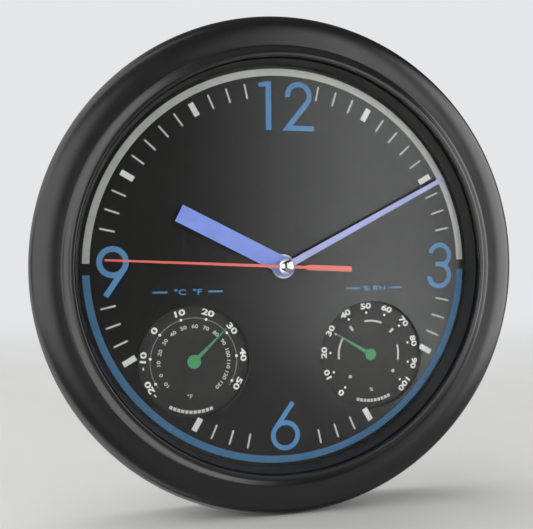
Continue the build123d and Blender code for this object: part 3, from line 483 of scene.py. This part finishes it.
def add_screw(mesh, place, angle, tip, seat, top):
    """A pan-head screw, pointing into the clock, with a cross recess in its head."""
    head, shank, crown = 3.0 * MM, 1.4 * MM, 2.1 * MM
    profile = [(0.1 * MM, tip), (shank, tip), (shank, seat), (head, seat)]
    profile += quarter((crown, seat - 0.5 * MM), head - crown, top - seat + 0.5 * MM, 0, 90, 6)
    sides = 24
    rings = []
    for i in range(sides):
        spots = [(polar(r, 360 * i / sides, place), d) for r, d in profile]
        rings.append([mesh.verts.new((x, -d, z)) for (x, z), d in spots])
    for a, b in zip(rings, rings[1:] + rings[:1]):
        for j in range(len(profile) - 1):
            mesh.faces.new((a[j], a[j + 1], b[j + 1], b[j]))
    mesh.faces.new([ring[0] for ring in rings])
    reach, half = 1.45 * MM, 0.38 * MM
    cross = []
    for i in range(4):
        for x, z in ((-half, reach), (half, reach), (half, half)):
            radius, heading = hypot(x, z), degrees(atan2(x, z))
            cross.append((radius, heading + angle + 90 * i))
    mouth = [mesh.verts.new((x, -top, z)) for x, z in (polar(r, a, place) for r, a in cross)]
    low_cross = [polar(CROSS_NARROWING * r, a, place) for r, a in cross]
    foot = [mesh.verts.new((x, -top - CROSS_SINK, z)) for x, z in low_cross]
    edges = []
    for loop in ([ring[-1] for ring in rings], mouth):
        for a, b in zip(loop, loop[1:] + loop[:1]):
            edges.append(mesh.edges.get((a, b)) or mesh.edges.new((a, b)))
    bmesh.ops.triangle_fill(mesh, use_beauty=True, edges=edges)
    for i in range(len(cross)):
        k = (i + 1) % len(cross)
        mesh.faces.new((mouth[i], mouth[k], foot[k], foot[i]))
    mesh.faces.new(foot)


def make_screws():
    """The screws round the rear cover, each left at its own turn."""
    low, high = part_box("rear_cover_screws")
    circle = high.z - 3.0 * MM
    mesh = bmesh.new()
    for i in range(6):
        add_screw(mesh, polar(circle, 60 * i), 17 * i * i + 8, -low.y, 3.0 * MM, -high.y)
    bmesh.ops.recalc_face_normals(mesh, faces=mesh.faces)
    screws = new_piece("cross_head_screws", mesh, screw_zinc, "case", smooth=True)
    screws.data.set_sharp_from_angle(angle=radians(30))
    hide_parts("rear_cover_screws")


make_screws()


def make_hub_cap():
    """The polished dome on the second hand."""
    low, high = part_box("second_hand_cap")
    radius, foot, top = 4.7 * MM, -high.y, -low.y
    rise = top - foot - 0.5 * MM
    profile = [(0.0, foot), (radius, foot), (radius, foot + 0.5 * MM)]
    sphere = (radius**2 + rise**2) / (2 * rise)
    for i in range(1, 15):
        across = radius * (1 - i / 14)
        profile.append((across, top - sphere + (sphere**2 - across**2) ** 0.5))
    mesh = bmesh.new()
    lathe(mesh, profile, 64)
    bmesh.ops.remove_doubles(mesh, verts=mesh.verts, dist=1e-7)
    bmesh.ops.dissolve_degenerate(mesh, edges=mesh.edges, dist=1e-7)
    cap = new_piece("hub_dome", mesh, cap_plating, "seconds_hand_train", smooth=True)
    cap.data.set_sharp_from_angle(angle=radians(38))
    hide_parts("second_hand_cap")


make_hub_cap()

# Dial print
RING_OUTER, RING_INNER = 122.4 * MM, 118.1 * MM
BAR_INNER, BAR_OUTER, BAR_WIDTH = 106.0 * MM, 114.5 * MM, 3.5 * MM
TICK_WIDTH = 1.05 * MM
TICK_STARTS = (105.5, 107.0, 108.5, 110.0, 111.5)
TICK_MARGIN = 0.6 * MM
GAUGE_HOLE = 34.5 * MM


def ring_band(name, start, end, material):
    mesh = bmesh.new()
    middle_radius = (RING_OUTER + RING_INNER) / 2
    add_band(mesh, arc(middle_radius, start, end), RING_OUTER - RING_INNER)
    printed(name, mesh, dial_depth, material)


ring_band("ring_band_silver", -88.46, 88.59, silver_ink)
ring_band("ring_band_blue", 91.57, 268.27, ring_ink)

figures = bmesh.new()
add_figures(figures)
printed("dial_figures", figures, dial_depth, blue_ink)


def clear_of_gauges(place):
    gauges = (thermometer_place, hygrometer_place)
    return all(hypot(place[0] - x, place[1] - z) > GAUGE_HOLE + TICK_MARGIN for x, z in gauges)


def tick_start(minute):
    """Where a tick begins: as far in as the gauges let it, or nowhere."""
    starts = (r * MM for r in TICK_STARTS)
    return next((r for r in starts if clear_of_gauges(polar(r, 6 * minute))), None)


bars = bmesh.new()
for hour in (1, 2, 4, 5, 7, 8, 10, 11):
    add_band(bars, [polar(BAR_INNER, 30 * hour), polar(BAR_OUTER, 30 * hour)], BAR_WIDTH)
printed("hour_bars", bars, dial_depth, bar_ink)

ticks = bmesh.new()
left_out = {1, 14, 16, 29, 31, 44, 46, 59}
for minute in range(60):
    if minute % 5 == 0 or minute in left_out:
        continue
    inner = tick_start(minute)
    if inner is not None:
        add_band(ticks, [polar(inner, 6 * minute), polar(BAR_OUTER, 6 * minute)], TICK_WIDTH)
printed("minute_ticks", ticks, dial_depth, tick_ink)


def unit_line(name, place, text, reach):
    """A unit sign between two rules, above a gauge."""
    mesh = bmesh.new()
    add_text(mesh, text, place, 3.2 * MM, 0.0, 1.5, 0.1 * MM)
    for side in (-1, 1):
        ends = [(place[0] + side * x * MM, place[1]) for x in (reach - 9.0, reach)]
        add_band(mesh, ends, 1.1 * MM)
    printed(name, mesh, dial_depth, blue_ink)


unit_line("temperature_unit", (-59.9 * MM, -14.6 * MM), "°C  °F", 21.5)
unit_line("humidity_unit", (60.5 * MM, -14.6 * MM), "% RH", 19.0)


# Gauge scales. Figures stand a little higher than the lines under them.


def gauge_print(name, add, material, height=INK):
    mesh = bmesh.new()
    add(mesh)
    printed(name, mesh, face_depth, material, height=height)


def celsius_angle(value):
    return (value - 15) * 3.38


def thermometer_numbers(mesh):
    for value in range(-20, 51, 10):
        angle = celsius_angle(value)
        place = polar(31.0 * MM, angle, thermometer_place)
        add_text(mesh, str(abs(value)), place, 3.5 * MM, angle, 1.6, 0.17 * MM)
        add_disc(mesh, polar(26.7 * MM, angle, thermometer_place), 0.85 * MM)
    for value in (-20, -10):
        angle = celsius_angle(value) - 11.5
        add_band(mesh, arc(31.0 * MM, angle - 1.6, angle + 1.6, thermometer_place, 1.6), 0.8 * MM)


def thermometer_small(mesh):
    for value in range(-10, 131, 10):
        angle = celsius_angle((value - 32) / 1.8)
        place = polar(21.6 * MM, angle, thermometer_place)
        add_text(mesh, str(abs(value)), place, 2.2 * MM, angle, 1.3, 0.07 * MM)
    add_text(mesh, "°F", polar(21.4 * MM, -172.5, thermometer_place), 2.4 * MM, 0.0, 1.2, 0.05 * MM)


def thermometer_line(mesh):
    add_band(mesh, arc(26.7 * MM, -125, 125, thermometer_place), 0.5 * MM)


def hygrometer_angle(value):
    return -5.2 + (value - 50) * 2.705


def hygrometer_numbers(mesh):
    for value in range(0, 101, 10):
        angle = hygrometer_angle(value)
        place = polar(31.2 * MM, angle, hygrometer_place)
        add_text(mesh, str(value), place, 3.5 * MM, angle, 1.45, 0.17 * MM)
        add_disc(mesh, polar(26.9 * MM, angle, hygrometer_place), 0.75 * MM)


def hygrometer_small(mesh):
    for radius, start, end in ((21.3, -97, -60), (21.5, -10, 22), (19.5, 74, 103)):
        add_band(mesh, arc(radius * MM, start, end, hygrometer_place), 1.2 * MM)
    for angle in (-36.5, 45):
        add_band(mesh, [polar(r * MM, angle, hygrometer_place) for r in (19.2, 22.8)], 1.5 * MM)
    for angle in (-136, 126):
        add_disc(mesh, polar(19.5 * MM, angle, hygrometer_place), 1.1 * MM)
    add_text(mesh, "%", polar(22.8 * MM, 178, hygrometer_place), 2.3 * MM, 0.0, 1.1, 0.05 * MM)


def foot_dashes(mesh, place, radius, start, end, count):
    """A row of short dashes along the foot of a gauge."""
    pitch = (end - start) / count
    for i in range(count):
        middle_angle = start + (i + 0.5) * pitch
        add_band(mesh, arc(radius, middle_angle - 0.38 * pitch, middle_angle + 0.38 * pitch, place), 2.0 * MM)


def thermometer_foot(mesh):
    foot_dashes(mesh, thermometer_place, 31 * MM, 158, 210, 11)


def hygrometer_foot(mesh):
    foot_dashes(mesh, hygrometer_place, 30 * MM, 153, 198.5, 10)


gauge_print("thermometer_numbers", thermometer_numbers, white_ink, INK + SUNK)
gauge_print("thermometer_small_scale", thermometer_small, tick_ink, INK + SUNK)
gauge_print("thermometer_line", thermometer_line, grey_ink)
gauge_print("thermometer_foot", thermometer_foot, tick_ink)
gauge_print("hygrometer_numbers", hygrometer_numbers, white_ink, INK + SUNK)
gauge_print("hygrometer_small_scale", hygrometer_small, tick_ink)
gauge_print("hygrometer_foot", hygrometer_foot, tick_ink)


# Stage: floor, light tent, sky and lamps


def stage_plane(name, corners, material):
    mesh = bmesh.new()
    mesh.faces.new([mesh.verts.new(corner) for corner in corners])
    data = bpy.data.meshes.new(name)
    mesh.to_mesh(data)
    mesh.free()
    data.materials.append(material)
    plane = bpy.data.objects.new(name, data)
    bpy.context.scene.collection.objects.link(plane)
    return plane


def make_floor():
    level = cad_low.z - 0.5 * MM
    half = 4.0
    made = Finish("floor_paper", 0.8)
    made.colour(made.noise(0.3), linear(186, 186, 184), linear(192, 192, 190))
    distance = made.nodes.new("ShaderNodeVectorMath")
    distance.operation = "LENGTH"
    made.links.new(made.place, distance.inputs[0])
    far = made.nodes.new("ShaderNodeMapRange")
    far.interpolation_type = "SMOOTHSTEP"
    far.inputs["From Min"].default_value = 0.35
    far.inputs["From Max"].default_value = 1.6
    made.links.new(distance.outputs["Value"], far.inputs["Value"])
    path = made.nodes.new("ShaderNodeLightPath")
    share = made.nodes.new("ShaderNodeMath")
    share.operation = "MULTIPLY"
    made.links.new(far.outputs["Result"], share.inputs[0])
    made.links.new(path.outputs["Is Camera Ray"], share.inputs[1])
    backdrop = made.nodes.new("ShaderNodeEmission")
    backdrop.inputs["Color"].default_value = linear(*BACKDROP)
    mix = made.nodes.new("ShaderNodeMixShader")
    made.links.new(share.outputs["Value"], mix.inputs["Fac"])
    made.links.new(made.shader.outputs["BSDF"], mix.inputs[1])
    made.links.new(backdrop.outputs["Emission"], mix.inputs[2])
    made.links.new(mix.outputs["Shader"], made.nodes["Material Output"].inputs["Surface"])
    corners = [(-half, -half, level), (half, -half, level), (half, half, level), (-half, half, level)]
    return stage_plane("floor", corners, made.material)


def shader_arithmetic(tree):
    """Two functions that add nodes to a tree: a sum or the like, and a soft step between two values."""
    nodes, links = tree.nodes, tree.links

    def math(operation, first, second):
        node = nodes.new("ShaderNodeMath")
        node.operation = operation
        for socket, value in zip(node.inputs, (first, second)):
            if isinstance(value, float):
                socket.default_value = value
            else:
                links.new(value, socket)
        return node.outputs["Value"]

    def slope(value, dark, full, glow=1.0):
        node = nodes.new("ShaderNodeMapRange")
        node.interpolation_type = "SMOOTHSTEP"
        node.inputs["From Min"].default_value = dark
        node.inputs["From Max"].default_value = full
        node.inputs["To Max"].default_value = glow
        links.new(value, node.inputs["Value"])
        return node.outputs["Result"]

    return math, slope


def make_light_tent():
    """A soft wall of light around the front half, dark behind the camera, seen only in gloss and shade."""
    radius, foot, head = 2.2, -3.0, 3.0
    sides = 72
    mesh = bmesh.new()
    columns = []
    for i in range(sides + 1):
        x, y = polar(radius, -130 + 260 * i / sides)
        columns.append([mesh.verts.new((x, -y, z)) for z in (foot, head)])
    for (a, b), (c, d) in zip(columns, columns[1:]):
        mesh.faces.new((a, c, d, b))
    data = bpy.data.meshes.new("light_tent")
    mesh.to_mesh(data)
    mesh.free()
    material = bpy.data.materials.new("tent_glow")
    material.use_nodes = True
    nodes, links = material.node_tree.nodes, material.node_tree.links
    nodes.remove(nodes["Principled BSDF"])
    place = nodes.new("ShaderNodeTexCoord").outputs["Object"]
    parts = nodes.new("ShaderNodeSeparateXYZ")
    links.new(place, parts.inputs["Vector"])

    math, slope = shader_arithmetic(material.node_tree)
    turn = math("ARCTAN2", parts.outputs["X"], math("MULTIPLY", parts.outputs["Y"], -1.0))
    level = parts.outputs["Z"]
    leaning = math("ADD", level, math("MULTIPLY", turn, 0.68))
    window = math("MULTIPLY", slope(turn, radians(6), radians(27), WINDOW_GLOW), slope(leaning, -0.24, -0.07))
    window = math("MULTIPLY", window, slope(level, 1.9, 0.9))
    window = math("MULTIPLY", window, slope(turn, radians(31), radians(28)))
    sill = math("MULTIPLY", slope(turn, radians(12), radians(25), SILL_GLOW), slope(leaning, -0.24, -0.07))
    window = math("ADD", window, math("MULTIPLY", sill, slope(leaning, 0.35, 0.1)))
    right = math("MULTIPLY", slope(turn, radians(36), radians(44), RIGHT_GLOW), slope(level, -0.85, -0.35))
    right = math("MULTIPLY", right, slope(level, 1.9, 0.9))
    right = math("MULTIPLY", right, slope(turn, radians(96), radians(76)))
    right = math("ADD", right, window)
    left = math("MULTIPLY", slope(turn, radians(-5), radians(-15), LEFT_GLOW), slope(level, -0.85, -0.35))
    left = math("MULTIPLY", left, slope(level, 1.3, 0.7))
    left = math("MULTIPLY", left, slope(turn, radians(-62), radians(-50)))
    opened = math("SUBTRACT", turn, math("MULTIPLY", math("ABSOLUTE", level, 0.0), 0.4))
    far_left = slope(opened, radians(-64), radians(-76), FAR_LEFT_GLOW)
    left = math("ADD", left, far_left)
    low = math("MULTIPLY", slope(level, -0.25, -0.55, LOW_GLOW), slope(turn, radians(-20), radians(0)))
    left = math("ADD", left, low)
    glow = nodes.new("ShaderNodeEmission")
    links.new(math("ADD", right, left), glow.inputs["Strength"])
    links.new(glow.outputs["Emission"], nodes["Material Output"].inputs["Surface"])
    data.materials.append(material)
    tent = bpy.data.objects.new("light_tent", data)
    bpy.context.scene.collection.objects.link(tent)
    tent.visible_camera = False


def make_lamp(name, place, target, width, height, power):
    data = bpy.data.lights.new(name, "AREA")
    data.shape = "RECTANGLE"
    data.size = width
    data.size_y = height
    data.energy = power
    lamp = bpy.data.objects.new(name, data)
    bpy.context.scene.collection.objects.link(lamp)
    aim = (Vector(target) - Vector(place)).to_track_quat("-Z", "Y").to_matrix().to_4x4()
    lamp.matrix_world = Matrix.Translation(place) @ aim
    lamp.visible_camera = False
    return lamp


def make_world():
    """A pale sky behind the clock and a dim room in front. The camera and glass see it pale all round."""
    world = bpy.data.worlds.new("sky")
    bpy.context.scene.world = world
    world.use_nodes = True
    nodes, links = world.node_tree.nodes, world.node_tree.links
    room = nodes["Background"]
    parts = nodes.new("ShaderNodeSeparateXYZ")
    links.new(nodes.new("ShaderNodeTexCoord").outputs["Generated"], parts.inputs["Vector"])
    spread = nodes.new("ShaderNodeMapRange")
    spread.interpolation_type = "SMOOTHSTEP"
    for socket, value in (("From Min", -0.3), ("From Max", 0.5), ("To Min", ROOM_GLOW), ("To Max", SKY_GLOW)):
        spread.inputs[socket].default_value = value
    links.new(parts.outputs["Y"], spread.inputs["Value"])

    math, slope = shader_arithmetic(world.node_tree)
    leftward = math("MULTIPLY", parts.outputs["X"], -0.97)
    lowered = math("ADD", leftward, math("MULTIPLY", parts.outputs["Z"], -0.24))
    flank = math("MULTIPLY", slope(lowered, 0.0, 0.3, FLANK_GLOW), slope(parts.outputs["Y"], -0.45, -0.25))
    flank = math("MULTIPLY", flank, slope(parts.outputs["Y"], 0.4, 0.2))
    links.new(math("ADD", spread.outputs["Result"], flank), room.inputs["Strength"])
    room.inputs["Color"].default_value = (1.0, 1.0, 1.0, 1.0)
    seen = nodes.new("ShaderNodeBackground")
    seen.inputs["Color"].default_value = linear(*BACKDROP)
    path = nodes.new("ShaderNodeLightPath")
    either = nodes.new("ShaderNodeMath")
    either.operation = "MAXIMUM"
    links.new(path.outputs["Is Camera Ray"], either.inputs[0])
    links.new(path.outputs["Is Transmission Ray"], either.inputs[1])
    mix = nodes.new("ShaderNodeMixShader")
    links.new(either.outputs["Value"], mix.inputs["Fac"])
    links.new(room.outputs["Background"], mix.inputs[1])
    links.new(seen.outputs["Background"], mix.inputs[2])
    links.new(mix.outputs["Shader"], nodes["World Output"].inputs["Surface"])


BACKDROP = (228, 230, 232)
WINDOW_GLOW = 2.95
SILL_GLOW = 0.6
RIGHT_GLOW = 4.0
LEFT_GLOW = 2.3
FAR_LEFT_GLOW = 2.4
FLANK_GLOW = 2.2
LOW_GLOW = 0.35
ROOM_GLOW = 0.08
SKY_GLOW = 0.25

floor = make_floor()
floor.visible_glossy = False
floor.visible_transmission = False
make_light_tent()
make_world()
top_lamp = make_lamp("top_softbox", (-0.1, 0.2, 1.8), (0.0, 0.1, 0.0), 1.4, 1.2, 20.0)
top_lamp.visible_glossy = False
rear_lamp = make_lamp("rear_softbox", (0.7, 1.7, 0.9), (0.0, 0.0, 0.0), 1.2, 1.2, 9.0)
rear_lamp.visible_glossy = False

scene = bpy.context.scene
scene.view_settings.view_transform = "Standard"
